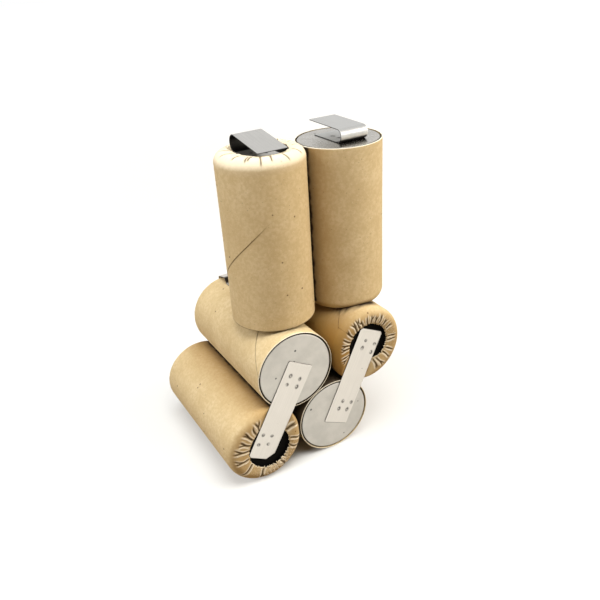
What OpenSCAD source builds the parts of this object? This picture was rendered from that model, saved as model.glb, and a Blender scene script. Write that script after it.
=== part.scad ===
// Battery pack of six paper-sleeved cylindrical cells, joined in series by welded nickel strips.
// A cell is drawn about its own axis, negative face at z = 0 and positive end up, then set in its place.
// Two rows of cells lie along Y with their ends flush, and two more cells stand on the upper row.

/* [Cell] */
// Diameter of a cell over its paper sleeve
cell_d = 22.5; // [21:0.1:26]
// Height of a cell from its negative face to the top of its positive cap
cell_h = 43; // [38:0.5:60]

/* [Pack] */
// Gap between neighbouring sleeves
cell_gap = 0.1; // [0.05:0.05:1]
// Distance of the standing cells' axes behind the front faces
upright_back = 13.6; // [11.5:0.1:18]
// Sideways offset of the standing cells from the lying cells under them
upright_shift = 1.75; // [0:0.05:3]

/* [Paper sleeve] */
// Thickness of the paper
paper_t = 0.25; // [0.15:0.05:0.4]
// Radial gap between the paper and the can
sleeve_fit = 0.05; // [0.02:0.01:0.1]
// Outside radius of the rounded shoulder at the positive end
shoulder_r = 2.6; // [1.5:0.1:3]
// Diameter of the opening that the folded paper leaves over the positive cap
opening_d = 12.6; // [11.8:0.1:13.4]
// Thickness of the gathered paper at the edge of the opening
fold_t = 1.2; // [0.4:0.1:1.4]
// How far the folded paper dips from its crown down to the opening
crown_dip = 0.3; // [0.1:0.1:1.2]

/* [Can and closure] */
// Wall of the steel can
can_wall = 0.3; // [0.2:0.05:0.4]
// Outside radius of the corner round the negative face
can_corner_r = 0.8; // [0.6:0.1:1.2]
// Radius of the bead groove that carries the gasket
bead_r = 1; // [0.8:0.1:1.2]
// Outside radius of the corner at the crimped rim
crimp_r = 1; // [0.6:0.1:1.2]
// Width of the crimped lip, from the can's outside to its edge
lip_w = 2.35; // [2.2:0.05:2.8]
// Height of the sealing gasket
gasket_h = 2.4; // [2.2:0.1:3]
// Thickness of the gasket under the lid
gasket_floor = 0.7; // [0.4:0.1:1]
// Thickness of the lid plate
lid_t = 0.6; // [0.4:0.1:0.8]
// How far the lid's edge reaches into the gasket
lid_lap = 1.1; // [0.6:0.1:1.4]
// Diameter of the vent hole in the lid
vent_hole_d = 2; // [1.2:0.1:2.4]
// Gap left where one piece seats on another
seat_gap = 0.02; // [0.01:0.01:0.05]

/* [Positive cap and vent] */
// Diameter of the positive cap
cap_d = 8; // [7:0.1:10.4]
// Sheet thickness of the cap
cap_t = 0.35; // [0.2:0.05:0.45]
// Width of the cap's flange
cap_flange_w = 1; // [0.6:0.1:1.4]
// Height of the cap above the crimped rim
cap_stand = 0.6; // [0.55:0.05:1.2]
// Width of the gas slots in the cap's wall
cap_slot_w = 0.9; // [0.5:0.1:1.5]
// Height of the gas slots in the cap's wall
cap_slot_h = 0.5; // [0.3:0.1:0.7]
// Diameter of the rubber vent valve
valve_d = 4.8; // [4:0.1:6]
// Thickness of the rubber vent valve
valve_t = 0.6; // [0.4:0.1:0.7]
// Wire diameter of the vent spring
spring_wire = 0.22; // [0.15:0.01:0.25]
// Turns of the vent spring
spring_turns = 2.5; // [2:0.5:3]
// Mean diameter of the vent spring at the valve
spring_d = 4; // [3.6:0.1:4.4]
// Mean diameter of the vent spring at the cap
spring_top_d = 2; // [1.6:0.1:2.2]
// Thickness of the insulating washer on the crimped rim
washer_t = 0.5; // [0.3:0.05:0.5]
// Radial gap between the washer and the cap
washer_gap = 0.4; // [0.2:0.1:0.6]

/* [Winding] */
// Thickness of the positive plate
positive_plate_t = 0.7; // [0.5:0.05:0.8]
// Thickness of the negative plate
negative_plate_t = 0.55; // [0.4:0.05:0.7]
// Thickness of a separator sheet
separator_t = 0.15; // [0.1:0.05:0.25]
// Least gap between the wound layers
layer_gap = 0.05; // [0.03:0.01:0.1]
// Radius of the hollow core of the winding
core_r = 1.6; // [1.2:0.1:2.5]
// Gap between the winding and the can
winding_gap = 0.25; // [0.15:0.05:0.5]
// How far each plate stands out of the other at its own end
plate_offset = 1.2; // [0.8:0.1:2]
// Thickness of the collector discs
collector_t = 0.25; // [0.15:0.05:0.4]
// Radial gap between the collector discs and the can
collector_gap = 1.15; // [0.9:0.05:2.5]
// Diameter of the holes in the collector discs
collector_hole_d = 3; // [2:0.1:4]
// Thickness of the insulating disc over the winding
insulator_t = 0.3; // [0.2:0.05:0.5]
// Diameter of the hole in the insulating disc
insulator_hole_d = 12; // [11:0.5:14]
// Width of the lead from the positive collector to the lid
lead_w = 4; // [3:0.1:5]
// Thickness of that lead
lead_t = 0.2; // [0.1:0.05:0.3]

/* [Nickel strips] */
// Width of the strips
strip_w = 8; // [6:0.1:8.6]
// Thickness of the strips
strip_t = 0.2; // [0.1:0.05:0.3]
// How far a straight link runs past the centre of a positive cap
cap_reach = 4.6; // [3:0.1:4.8]
// How far a link runs past the centre of a negative face
face_reach = 2.4; // [2:0.1:5]
// Cut-off at the corners of a link on a cap
corner_clip = 1.2; // [0.2:0.1:2]
// Gap between a strip and the folded paper
strip_gap = 0.2; // [0.1:0.05:0.3]
// Slope of the paper pressed down beside a strip, in degrees
press_slope = 40; // [30:1:70]
// Bend radius of the links between standing and lying cells
link_bend_r = 1.1; // [0.6:0.1:2]
// Height of the arch of a bent link near the rear end of the cell under it
arch_h = 1.6; // [1:0.1:3]
// Length of that arch along the cell, up to the rear end
arch_l = 5.6; // [5:0.1:8]
// Length of the arch's steep front side
arch_front_l = 1.2; // [1:0.1:3]
// Height of a bent link over the rear edge of the cell under it
edge_lift = 0.4; // [0.2:0.1:1.5]
// Sideways offset of the left bent link from the axis of its standing cell
left_bent_shift = 0.85; // [0:0.05:1.5]
// Sideways offset of the left front link from the line between its cells
left_link_shift = 0.5; // [0:0.1:0.8]
// Turn of the right front link about the upper cap, in degrees
right_link_turn = 3.6; // [0:0.1:5]

/* [Output tabs] */
// Sideways offset of the positive tab to the left of its cell's axis
positive_tab_shift = 0.2; // [0:0.1:1]
// Sideways offset of the negative tab to the right of its cell's axis
negative_tab_shift = 0.6; // [0:0.1:1]
// Distance of the positive tab's bend from the cell's axis
positive_bend_at = 5.3; // [5:0.1:7]
// Outside radius of the positive tab's bend
positive_bend_r = 2.2; // [2:0.1:3]
// Length of the positive tab's leaf
positive_leaf_l = 12.8; // [8:0.1:16]
// Downward slope of the positive tab's leaf, in degrees
positive_slope = 9; // [0:0.5:10]
// Distance of the negative tab's bend from the cell's axis
negative_bend_at = 4.8; // [3:0.1:8]
// Outside radius of the negative tab's bend
negative_bend_r = 1.7; // [1:0.1:3]
// Length of the negative tab's leaf
negative_leaf_l = 13.4; // [8:0.1:16]
// Downward slope of the negative tab's leaf, in degrees
negative_slope = -1; // [-4:0.5:4]
// Length of the negative tab's foot behind the cell's axis
negative_foot_l = 6; // [3:0.1:8]

/* [Hidden] */
$fn = 64;
arc_steps = 6;
winding_steps = 16;
spring_steps = 10;
wire_sides = 6;
cell_count = 6;
cut_margin = 1;
lead_round = 0.98;

// Arrangement: pitch of touching cells, height of the upper row, top of the upper row
sleeve_r = cell_d / 2;
pitch = cell_d + cell_gap;
row_rise = pitch * sin(60);
upper_z = sleeve_r + row_rise;
rows_top = upper_z + sleeve_r;
front_y = -cell_h / 2;
rear_y = cell_h / 2;
upright_y = front_y + upright_back;
upright_z = rows_top + strip_t + seat_gap;
left_x = -(1.5 * pitch + upright_shift) / 2;

// Levels of a cell, from the cap downwards
can_r = sleeve_r - paper_t - sleeve_fit;
can_in_r = can_r - can_wall;
lip_r = can_r - lip_w;
crimp_z = cell_h - cap_stand;
gasket_top = crimp_z - can_wall - seat_gap;
gasket_z = gasket_top - gasket_h;
lid_z = gasket_z + gasket_floor;
lid_top = lid_z + lid_t;
lid_r = lip_r + lid_lap;
bead_in_r = bead_r + can_wall;
bead_z = gasket_z - seat_gap - bead_in_r;
washer_top = crimp_z + seat_gap + washer_t;
crown_z = washer_top + seat_gap + fold_t + crown_dip;
crown_h = crown_z - cell_h;
opening_r = opening_d / 2;
shoulder = min(shoulder_r, crown_z - crimp_z + crimp_r);

// Levels of the winding
winding_z = can_wall + collector_t + 2 * seat_gap;
insulator_z = bead_z - bead_in_r - insulator_t - seat_gap;
collector_z = insulator_z - seat_gap - collector_t;
winding_top = collector_z - seat_gap;
layers_t = positive_plate_t + negative_plate_t + 2 * separator_t;
winding_room = can_in_r - winding_gap - core_r;
winding_turns = floor(winding_room / (layers_t + 4 * layer_gap)) - 1;
layer_pitch = winding_room / (winding_turns + 1);
layer_space = (layer_pitch - layers_t) / 4;
collector_r = can_in_r - collector_gap;

// Vent: the valve seats on the lid and the spring fills the space up to the cap
valve_z = lid_top + seat_gap;
spring_z = valve_z + valve_t + spring_wire / 2 + seat_gap;
spring_rise = cell_h - cap_t - seat_gap - spring_wire / 2 - spring_z;

// A square strip end fits in the opening up to this reach from the cap's centre
opening_limit = opening_r - strip_gap;
function half_chord(shift) = sqrt(max(0, opening_limit ^ 2 - (strip_w / 2 + abs(shift)) ^ 2));
function square_reach(shift) = min(cap_reach, half_chord(shift));

// Each cell: position of its negative face, its turn about X, and the way and the sideways offset of
// the strip that leaves its cap, both in the cell's own frame
CELLS = [
    [[left_x + pitch / 2 + upright_shift, upright_y, upright_z], 0, 90, positive_tab_shift],
    [[left_x + pitch / 2, front_y, upper_z], -90, 270, upright_shift + left_bent_shift],
    [[left_x, rear_y, sleeve_r], 90, 60, -left_link_shift],
    [[left_x + pitch, front_y, sleeve_r], -90, 180, 0],
    [[left_x + 1.5 * pitch, rear_y, upper_z], 90, 240 + right_link_turn, 0],
    [[left_x + 1.5 * pitch + upright_shift, upright_y, upright_z + cell_h], 180, 270, 0],
];

CELL_PIECES = ["sleeve", "can", "gasket", "lid", "cap", "vent_valve"];
GROUPS = [
    "vent_springs", "insulating_washers", "positive_plates", "negative_plates", "separators",
    "positive_collectors", "negative_collectors", "collector_leads", "winding_insulators",
];
STRIPS = [
    "link_1_2", "link_2_3", "link_3_4", "link_4_5", "link_5_6",
    "positive_tab_foot", "positive_tab_bend", "positive_tab_leaf",
    "negative_tab_foot", "negative_tab_bend", "negative_tab_leaf",
];
function cell_node(i, piece) = str("cell_", i, "_", piece);

// Points along an arc about c
function polar(c, r, a) = c + r * [cos(a), sin(a)];
function arc(c, r, a0, a1, n = arc_steps) = [for (i = [0:n]) polar(c, r, a0 + (a1 - a0) * i / n)];

// Edge of a bent strip at distance d to the left of its middle line, with corners of radius r
function unit(v) = v / norm(v);
function left_of(v) = [-v[1], v[0]];
function turn_at(a, b, c) = sign(cross(b - a, c - b));
function half_angle(a, b, c) = acos(unit(a - b) * unit(c - b)) / 2;
function corner(a, b, c, r, d) =
    let (h = half_angle(a, b, c))
    let (m = b + unit(unit(a - b) + unit(c - b)) * r / sin(h))
    let (turn = turn_at(a, b, c))
    let (out = -turn * left_of(unit(b - a)))
    let (a0 = atan2(out[1], out[0]))
    arc(m, r - turn * d, a0, a0 + turn * (180 - 2 * h));
function edge(p, r, d) =
    let (n = len(p) - 1)
    concat(
        [p[0] + d * left_of(unit(p[1] - p[0]))],
        [for (i = [1:n - 1]) each corner(p[i - 1], p[i], p[i + 1], r, d)],
        [p[n] + d * left_of(unit(p[n] - p[n - 1]))]
    );
function reversed(p) = [for (i = [len(p) - 1:-1:0]) p[i]];

// Strip of width w and thickness t bent along the middle line p in the YZ plane, centred on X
module bent_strip(p, r, w, t) {
    rotate([90, 0, 90])
        linear_extrude(w, center = true)
            polygon(concat(edge(p, r, t / 2), reversed(edge(p, r, -t / 2))));
}

// Children in the frame of cell i
module at_cell(i) {
    c = CELLS[i - 1];
    translate(c[0]) rotate([c[1], 0, 0]) children();
}

// Children once in every cell
module in_each_cell() {
    for (i = [1:cell_count]) at_cell(i) children();
}

// Children on the cap of cell i, with +X along the strip that leaves it
module along_strip(i) {
    c = CELLS[i - 1];
    at_cell(i) translate([0, 0, cell_h]) rotate([0, 0, c[2]]) translate([0, c[3], 0]) children();
}

// Space of the cell under the right standing cell, which presses into that cell's crown
module pressed_in(i) {
    if (i == 6) at_cell(5) cylinder(h = cell_h, r = sleeve_r + cell_gap);
}

// Paper tube, drawn in over the rim to a gathered crown, with a channel where the strip leaves the cap
module sleeve(i) {
    c = [sleeve_r - shoulder, crown_z - shoulder];
    half = strip_w / 2 + strip_gap;
    top = crown_h + cut_margin;
    flare = (top + strip_gap) / tan(press_slope);
    color("burlywood")
        difference() {
            at_cell(i) rotate_extrude() polygon(concat(
                [[sleeve_r, 0]],
                arc(c, shoulder, 0, 90),
                [[opening_r, crown_z - crown_dip], [opening_r, crown_z - crown_dip - fold_t]],
                arc(c, shoulder - paper_t, 90, 0),
                [[sleeve_r - paper_t, 0]]
            ));
            along_strip(i) rotate([90, 0, 90]) linear_extrude(sleeve_r + cut_margin)
                polygon([[-half, -strip_gap], [half, -strip_gap], [half + flare, top], [-half - flare, top]]);
            pressed_in(i);
        }
}

// Drawn steel can with its bead groove and crimped lip; its flat bottom is the negative face
module can(i) {
    c_corner = [can_r - can_corner_r, can_corner_r];
    c_crimp = [can_r - crimp_r, crimp_z - crimp_r];
    c_bead = [can_r, bead_z];
    a_bead = acos(-can_wall / bead_in_r);
    color("silver")
        at_cell(i) rotate_extrude() polygon(concat(
            [[0, 0]],
            arc(c_corner, can_corner_r, -90, 0),
            arc(c_bead, bead_r, -90, -270),
            arc(c_crimp, crimp_r, 0, 90),
            [[lip_r, crimp_z], [lip_r, crimp_z - can_wall]],
            arc(c_crimp, crimp_r - can_wall, 90, 0),
            arc(c_bead, bead_in_r, a_bead, 360 - a_bead),
            arc(c_corner, can_corner_r - can_wall, 0, -90),
            [[0, can_wall]]
        ));
}

// Nylon ring on the bead, with a groove round its inside that grips the lid
module gasket(i) {
    gasket_r = can_in_r - seat_gap;
    color("dimgray")
        at_cell(i) rotate_extrude() polygon([
            [lip_r, gasket_z],
            [gasket_r, gasket_z],
            [gasket_r, gasket_top - crimp_r + can_wall],
            [can_r - crimp_r, gasket_top],
            [lip_r, gasket_top],
            [lip_r, lid_top + seat_gap],
            [lid_r + seat_gap, lid_top + seat_gap],
            [lid_r + seat_gap, lid_z - seat_gap],
            [lip_r, lid_z - seat_gap],
        ]);
}

// Lid plate with the vent hole at its centre
module lid(i) {
    color("silver")
        at_cell(i) translate([0, 0, lid_z]) difference() {
            cylinder(h = lid_t, r = lid_r);
            translate([0, 0, -cut_margin]) cylinder(h = lid_t + 2 * cut_margin, d = vent_hole_d);
        }
}

// Hat-shaped positive cap on the lid, slotted so that gas can leave
module cap(i) {
    cap_r = cap_d / 2;
    color("gainsboro")
        at_cell(i) difference() {
            rotate_extrude() polygon([
                [0, cell_h],
                [cap_r, cell_h],
                [cap_r, lid_top + seat_gap + cap_t],
                [cap_r + cap_flange_w, lid_top + seat_gap + cap_t],
                [cap_r + cap_flange_w, lid_top + seat_gap],
                [cap_r - cap_t, lid_top + seat_gap],
                [cap_r - cap_t, cell_h - cap_t],
                [0, cell_h - cap_t],
            ]);
            translate([-cap_d, -cap_slot_w / 2, lid_top + seat_gap + cap_t])
                cube([2 * cap_d, cap_slot_w, cap_slot_h]);
        }
}

// Rubber disc that closes the vent hole
module vent_valve(i) {
    color("black") at_cell(i) translate([0, 0, valve_z]) cylinder(h = valve_t, d = valve_d);
}

// Ring of points round the spring wire at turn position u, from 0 at the valve to 1 at the cap
function wire_ring(u) =
    let (a = 360 * spring_turns * u)
    let (r = (spring_d + (spring_top_d - spring_d) * u) / 2)
    let (z = spring_z + spring_rise * u)
    [for (k = [0:wire_sides - 1])
        let (b = 360 * k / wire_sides)
        let (q = r + spring_wire / 2 * cos(b))
        [q * cos(a), q * sin(a), z + spring_wire / 2 * sin(b)]];

// Cone-shaped wire springs that hold the valves shut
module vent_springs() {
    n = round(spring_turns * spring_steps);
    last = n * wire_sides;
    points = [for (i = [0:n]) each wire_ring(i / n)];
    sides = [for (i = [0:n - 1]) for (k = [0:wire_sides - 1])
        let (p = i * wire_sides + k)
        let (q = i * wire_sides + (k + 1) % wire_sides)
        each [[p, q, q + wire_sides], [p, q + wire_sides, p + wire_sides]]];
    start = [for (k = [1:wire_sides - 2]) [0, k + 1, k]];
    end = [for (k = [1:wire_sides - 2]) [last, last + k, last + k + 1]];
    color("lightgray") in_each_cell() polyhedron(points, reversed_faces(concat(sides, start, end)));
}
function reversed_faces(f) = [for (t = f) reversed(t)];

// Dark fibre rings on the crimped rims, round the caps and under the folded paper
module insulating_washers() {
    washer_in_r = cap_d / 2 + washer_gap;
    color("black")
        in_each_cell() translate([0, 0, crimp_z + seat_gap]) difference() {
            cylinder(h = washer_t, r = can_r - crimp_r);
            translate([0, 0, -cut_margin]) cylinder(h = washer_t + 2 * cut_margin, r = washer_in_r);
        }
}

// Outline of one wound layer of thickness t that starts at radius r
function layer_r(r, i) = r + layer_pitch * i / winding_steps;
function layer(r, t) =
    let (n = winding_turns * winding_steps)
    let (inner = [for (i = [0:n]) polar([0, 0], layer_r(r, i), 360 * i / winding_steps)])
    let (outer = [for (i = [0:n]) polar([0, 0], layer_r(r + t, i), 360 * i / winding_steps)])
    concat(outer, reversed(inner));
separator_1_r = core_r + positive_plate_t + layer_space;
negative_r = separator_1_r + separator_t + layer_space;
separator_2_r = negative_r + negative_plate_t + layer_space;
winding_h = winding_top - winding_z;

// Wound positive plates, standing out at the top to meet their collectors
module positive_plates() {
    color("darkslategray")
        in_each_cell() translate([0, 0, winding_z + plate_offset])
            linear_extrude(winding_h - plate_offset) polygon(layer(core_r, positive_plate_t));
}

// Wound negative plates, standing out at the bottom to meet their collectors
module negative_plates() {
    color("slategray")
        in_each_cell() translate([0, 0, winding_z])
            linear_extrude(winding_h - plate_offset) polygon(layer(negative_r, negative_plate_t));
}

// Two separator sheets wound between the plates of each cell
module separators() {
    color("ivory")
        in_each_cell() translate([0, 0, winding_z + plate_offset / 2])
            for (r = [separator_1_r, separator_2_r])
                linear_extrude(winding_h - plate_offset) polygon(layer(r, separator_t));
}

// Disc with a ring of holes that is welded to the edge of a plate
module collector() {
    hole_ring_r = collector_r / 2 + collector_hole_d / 4;
    difference() {
        cylinder(h = collector_t, r = collector_r);
        for (a = [45:90:315])
            rotate([0, 0, a]) translate([hole_ring_r, 0, -cut_margin])
                cylinder(h = collector_t + 2 * cut_margin, d = collector_hole_d);
    }
}

module positive_collectors() {
    color("gainsboro") in_each_cell() translate([0, 0, collector_z]) collector();
}

module negative_collectors() {
    color("gainsboro") in_each_cell() translate([0, 0, can_wall + seat_gap]) collector();
}

// Leads bent from the positive collectors up to the lids, clear of the vent holes
module collector_leads() {
    low = collector_z + collector_t + seat_gap + lead_t / 2;
    high = lid_z - seat_gap - lead_t / 2;
    bend = (high - low) / 2 * lead_round;
    foot_y = -insulator_hole_d / 4;
    corner_y = sqrt((insulator_hole_d / 2 - strip_gap) ^ 2 - (lead_w / 2) ^ 2) - lead_t / 2;
    end_y = vent_hole_d / 2 + strip_gap;
    route = [[foot_y, low], [corner_y, low], [corner_y, high], [end_y, high]];
    color("gainsboro") in_each_cell() bent_strip(route, bend, lead_w, lead_t);
}

// Discs that keep the winding off the bead and the lid
module winding_insulators() {
    color("ivory")
        in_each_cell() translate([0, 0, insulator_z]) difference() {
            cylinder(h = insulator_t, r = can_in_r - seat_gap);
            translate([0, 0, -cut_margin]) cylinder(h = insulator_t + 2 * cut_margin, d = insulator_hole_d);
        }
}

// Straight link from the cap of cell i to the negative face beside it, its corners cut off on the cap
module straight_link(i) {
    half = strip_w / 2;
    wide = half + abs(CELLS[i - 1][3]);
    clip_across = wide - sqrt(opening_limit ^ 2 - cap_reach ^ 2);
    clip_along = cap_reach - sqrt(opening_limit ^ 2 - wide ^ 2);
    clip = max(corner_clip, clip_across, clip_along);
    color("gainsboro")
        along_strip(i) linear_extrude(strip_t) polygon([
            [pitch + face_reach, half],
            [clip - cap_reach, half],
            [-cap_reach, half - clip],
            [-cap_reach, clip - half],
            [clip - cap_reach, -half],
            [pitch + face_reach, -half],
        ]);
}

module link_2_3() { straight_link(3); }
module link_3_4() { straight_link(4); }
module link_4_5() { straight_link(5); }

// Bent link at x, from under a standing cell, arched over the rear end of the cell below, down to end
module bent_link(x, front, end) {
    z = rows_top + strip_t / 2;
    y = rear_y + strip_t / 2;
    top_y = y - arch_l + arch_front_l;
    route = [[front, z], [y - arch_l, z], [top_y, z + arch_h], [y, z + edge_lift], [y, end]];
    bend_r = min(link_bend_r, edge_lift * tan(half_angle(route[2], route[3], route[4])));
    color("gainsboro") translate([x, 0, 0]) bent_strip(route, bend_r, strip_w, strip_t);
}

// From the base of the left standing cell to the cap of the cell under it
module link_1_2() {
    x = CELLS[0][0][0] + left_bent_shift;
    bent_link(x, upright_y - face_reach, upper_z - square_reach(upright_shift + left_bent_shift));
}

// From the cap of the right standing cell to the negative face of the cell under it
module link_5_6() {
    bent_link(CELLS[5][0][0], upright_y - square_reach(0), upper_z - face_reach);
}

// Children in the frame of an output tab: +X towards its bend, Z up from the face that it is welded to
module at_positive_tab() { along_strip(1) children(); }
module at_negative_tab() {
    p = CELLS[5][0];
    translate([p[0] + negative_tab_shift, p[1], p[2]]) rotate([0, 0, -90]) children();
}

// Flat foot of a tab, from tail behind the axis to the bend
module tab_foot(tail, bend_at) {
    translate([-tail, -strip_w / 2, 0]) cube([tail + bend_at, strip_w, strip_t]);
}

// Round bend of a tab, turned past the half circle by the slope of its leaf
module tab_bend(bend_at, r, slope) {
    translate([bend_at, 0, r]) rotate([90, 0, 0]) rotate([0, 0, -90])
        rotate_extrude(angle = 180 + slope) translate([r - strip_t, -strip_w / 2]) square([strip_t, strip_w]);
}

// Leaf that is folded back over the foot
module tab_leaf(bend_at, r, slope, leaf_l) {
    translate([bend_at, 0, r]) rotate([0, -slope, 0])
        translate([-leaf_l, -strip_w / 2, r - strip_t]) cube([leaf_l, strip_w, strip_t]);
}

module positive_tab_foot() {
    color("gainsboro") at_positive_tab() tab_foot(square_reach(positive_tab_shift), positive_bend_at);
}
module positive_tab_bend() {
    color("gainsboro") at_positive_tab() tab_bend(positive_bend_at, positive_bend_r, positive_slope);
}
module positive_tab_leaf() {
    color("gainsboro")
        at_positive_tab() tab_leaf(positive_bend_at, positive_bend_r, positive_slope, positive_leaf_l);
}
module negative_tab_foot() {
    color("gainsboro") at_negative_tab() tab_foot(negative_foot_l, negative_bend_at);
}
module negative_tab_bend() {
    color("gainsboro") at_negative_tab() tab_bend(negative_bend_at, negative_bend_r, negative_slope);
}
module negative_tab_leaf() {
    color("gainsboro")
        at_negative_tab() tab_leaf(negative_bend_at, negative_bend_r, negative_slope, negative_leaf_l);
}

for (i = [1:cell_count]) {
    sleeve(i);
    can(i);
    gasket(i);
    lid(i);
    cap(i);
    vent_valve(i);
}
vent_springs();
insulating_washers();
positive_plates();
negative_plates();
separators();
positive_collectors();
negative_collectors();
collector_leads();
winding_insulators();
link_1_2();
link_2_3();
link_3_4();
link_4_5();
link_5_6();
positive_tab_foot();
positive_tab_bend();
positive_tab_leaf();
negative_tab_foot();
negative_tab_bend();
negative_tab_leaf();
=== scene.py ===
import math
import random

import bpy
import numpy as np
from mathutils import Matrix, Vector


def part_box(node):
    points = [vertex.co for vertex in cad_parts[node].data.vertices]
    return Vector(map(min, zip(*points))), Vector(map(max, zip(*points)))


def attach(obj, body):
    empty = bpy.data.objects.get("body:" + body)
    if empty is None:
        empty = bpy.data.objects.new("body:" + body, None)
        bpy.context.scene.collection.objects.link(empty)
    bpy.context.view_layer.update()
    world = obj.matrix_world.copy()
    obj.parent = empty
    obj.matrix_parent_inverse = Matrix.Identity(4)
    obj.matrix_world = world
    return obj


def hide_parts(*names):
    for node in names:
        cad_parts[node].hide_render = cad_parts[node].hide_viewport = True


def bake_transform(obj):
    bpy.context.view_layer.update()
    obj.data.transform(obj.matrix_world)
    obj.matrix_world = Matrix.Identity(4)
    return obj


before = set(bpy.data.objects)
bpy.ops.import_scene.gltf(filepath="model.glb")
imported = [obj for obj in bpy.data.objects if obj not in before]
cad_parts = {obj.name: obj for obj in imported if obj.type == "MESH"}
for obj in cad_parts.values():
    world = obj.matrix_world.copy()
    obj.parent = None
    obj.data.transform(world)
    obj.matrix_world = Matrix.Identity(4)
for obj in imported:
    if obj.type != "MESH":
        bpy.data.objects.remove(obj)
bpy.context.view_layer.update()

# Lengths are in millimetres, in the frame of the CAD model; only those of bumps and lamps are in metres.
MM = 0.001

# Sizes of the cells, as in the part's source
CELL_D = 22.5
CELL_H = 43.0
CELL_GAP = 0.1
UPRIGHT_BACK = 13.6
UPRIGHT_SHIFT = 1.75
PAPER_T = 0.25
SHOULDER_R = 2.6
OPENING_R = 6.3
CROWN_Z = 44.44
CROWN_DIP = 0.3
WASHER_TOP = 42.92
SEAT_GAP = 0.02

# Sizes of the strips and tabs, as in the part's source
STRIP_W = 8.0
STRIP_T = 0.2
CAP_REACH = 4.6
FACE_REACH = 2.4
ARCH_H = 1.6
ARCH_L = 5.6
ARCH_FRONT_L = 1.2
EDGE_LIFT = 0.4
LINK_BEND_R = 0.52
LEFT_BENT_SHIFT = 0.85
LEFT_LINK_SHIFT = 0.5
RIGHT_LINK_TURN = 3.6
POSITIVE_TAB_SHIFT = 0.2
NEGATIVE_TAB_SHIFT = 0.6
POSITIVE_TAB = {"bend_at": 5.3, "r": 2.2, "leaf_l": 12.8, "slope": 9.0}
NEGATIVE_TAB = {"bend_at": 4.8, "r": 1.7, "leaf_l": 13.4, "slope": -1.0, "foot_l": 6.0}

# Sizes of the vent springs under the caps, as in the part's source
CAP_T = 0.35
SPRING_WIRE = 0.22
SPRING_TURNS = 2.5
SPRING_D = 4.0
SPRING_TOP_D = 2.0

SLEEVE_R = CELL_D / 2
PITCH = CELL_D + CELL_GAP
UPPER_Z = SLEEVE_R + PITCH * math.sin(math.radians(60))
ROWS_TOP = UPPER_Z + SLEEVE_R
FRONT_Y = -CELL_H / 2
REAR_Y = CELL_H / 2
UPRIGHT_Y = FRONT_Y + UPRIGHT_BACK
UPRIGHT_Z = ROWS_TOP + STRIP_T + SEAT_GAP
LEFT_X = -(1.5 * PITCH + UPRIGHT_SHIFT) / 2
TUBE_TOP = CROWN_Z - SHOULDER_R

# Each cell: place of its negative face, turn about X, way and sideways offset of the strip on its cap
CELLS = {
    1: ((LEFT_X + PITCH / 2 + UPRIGHT_SHIFT, UPRIGHT_Y, UPRIGHT_Z), 0, 90, POSITIVE_TAB_SHIFT),
    2: ((LEFT_X + PITCH / 2, FRONT_Y, UPPER_Z), -90, 270, UPRIGHT_SHIFT + LEFT_BENT_SHIFT),
    3: ((LEFT_X, REAR_Y, SLEEVE_R), 90, 60, -LEFT_LINK_SHIFT),
    4: ((LEFT_X + PITCH, FRONT_Y, SLEEVE_R), -90, 180, 0.0),
    5: ((LEFT_X + 1.5 * PITCH, REAR_Y, UPPER_Z), 90, 240 + RIGHT_LINK_TURN, 0.0),
    6: ((LEFT_X + 1.5 * PITCH + UPRIGHT_SHIFT, UPRIGHT_Y, UPRIGHT_Z + CELL_H), 180, 270, 0.0),
}


def cell_matrix(i):
    """From a cell's own frame (negative face at 0, positive end up) to the pack."""
    place, turn, _, _ = CELLS[i]
    return Matrix.Translation(place) @ Matrix.Rotation(math.radians(turn), 4, "X")


def strip_matrix(i):
    """From the frame on the cap of cell i, +X along its strip, to the pack."""
    _, _, way, offset = CELLS[i]
    on_cap = Matrix.Translation((0, 0, CELL_H)) @ Matrix.Rotation(math.radians(way), 4, "Z")
    return cell_matrix(i) @ on_cap @ Matrix.Translation((0, offset, 0))


def moved(points, matrix):
    m = np.array(matrix)
    return points @ m[:3, :3].T + m[:3, 3]


def smoothstep(x, low, high):
    t = np.clip((x - low) / (high - low), 0.0, 1.0)
    return t * t * (3 - 2 * t)


def between(x, rise, fall):
    """1 between two fades, each of them (from, to), and 0 outside them."""
    return smoothstep(x, *rise) * (1 - smoothstep(x, *fall))


def soft_min(a, b, k):
    """Smaller of a and b, with the corner between them rounded over k."""
    h = np.clip(0.5 + 0.5 * (b - a) / k, 0.0, 1.0)
    return b * (1 - h) + a * h - k * h * (1 - h)


def angle_apart(a, b):
    return (a - b + 180) % 360 - 180


def wave_noise(angle, number, seed, waves, size):
    """Smooth noise round a circle: a few sine waves with seeded phases. angle is in degrees."""
    rng = random.Random(seed + number)
    total = np.zeros_like(angle)
    for n in waves:
        total += rng.uniform(0.5, 1.0) * np.sin(np.radians(n * angle + rng.uniform(0, 360)))
    return size * total / len(waves)


def band_faces(rings):
    """Faces between rings of equal length, whose point numbers are the rows of an array."""
    after = np.roll(rings, -1, axis=1)
    return np.stack([rings[:-1], rings[1:], after[1:], after[:-1]], axis=2).reshape(-1, 4).tolist()


def make_object(name, points, faces, material, attributes=None):
    """Mesh object from points in the pack's frame, shaded smooth."""
    mesh = bpy.data.meshes.new(name)
    mesh.from_pydata((points * MM).tolist(), [], faces)
    mesh.polygons.foreach_set("use_smooth", [True] * len(mesh.polygons))
    for key, values in (attributes or {}).items():
        vectors = np.ndim(values) == 2
        layer = mesh.attributes.new(key, "FLOAT_VECTOR" if vectors else "FLOAT", "POINT")
        layer.data.foreach_set("vector" if vectors else "value", np.ravel(values).astype(np.float32))
    mesh.validate()
    mesh.update()
    obj = bpy.data.objects.new(name, mesh)
    bpy.context.scene.collection.objects.link(obj)
    mesh.materials.append(material)
    return obj


# Materials

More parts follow.
